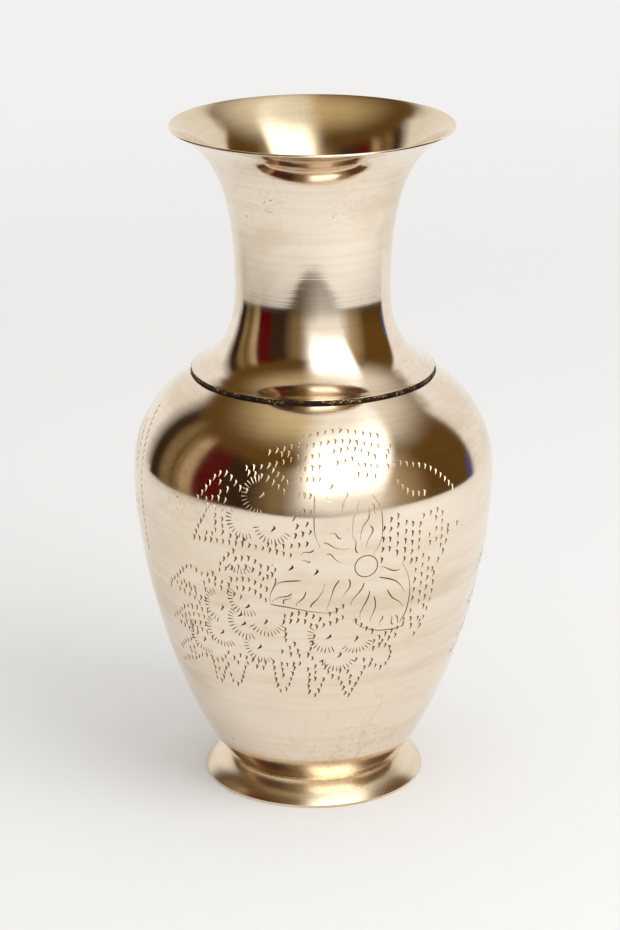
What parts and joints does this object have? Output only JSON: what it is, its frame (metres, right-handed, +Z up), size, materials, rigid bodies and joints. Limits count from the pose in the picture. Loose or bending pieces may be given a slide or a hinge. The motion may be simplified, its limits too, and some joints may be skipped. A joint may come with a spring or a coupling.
{
  "type": "flower vase",
  "caption": "Footed brass flower vase: a flared trumpet neck lapped over an ovoid body with engraved flower panels, on a flared foot ring.",
  "frame": {"origin": "on the vase's axis, in the plane that the foot rests on", "axes": "+Z up along the axis, -Y towards the engraved front panel"},
  "size_m": [0.1332, 0.1332, 0.25],
  "materials": {
    "neck_brass": "lathe-polished, lightly tarnished",
    "body_brass": "polished and engraved, with faint stains",
    "foot_brass": "lathe-polished, yellower",
    "dark_solder": "oxidised hard solder with grime",
    "braze": "raw spelter",
    "bright_solder": "scraped bright"
  },
  "bodies": {
    "root": {"neck": "neck_brass", "shoulder": "body_brass", "bowl": "body_brass", "foot_ring": "foot_brass", "neck_solder": "dark_solder", "belly_braze": "braze", "foot_solder": "bright_solder"}
  },
  "joints": []
}
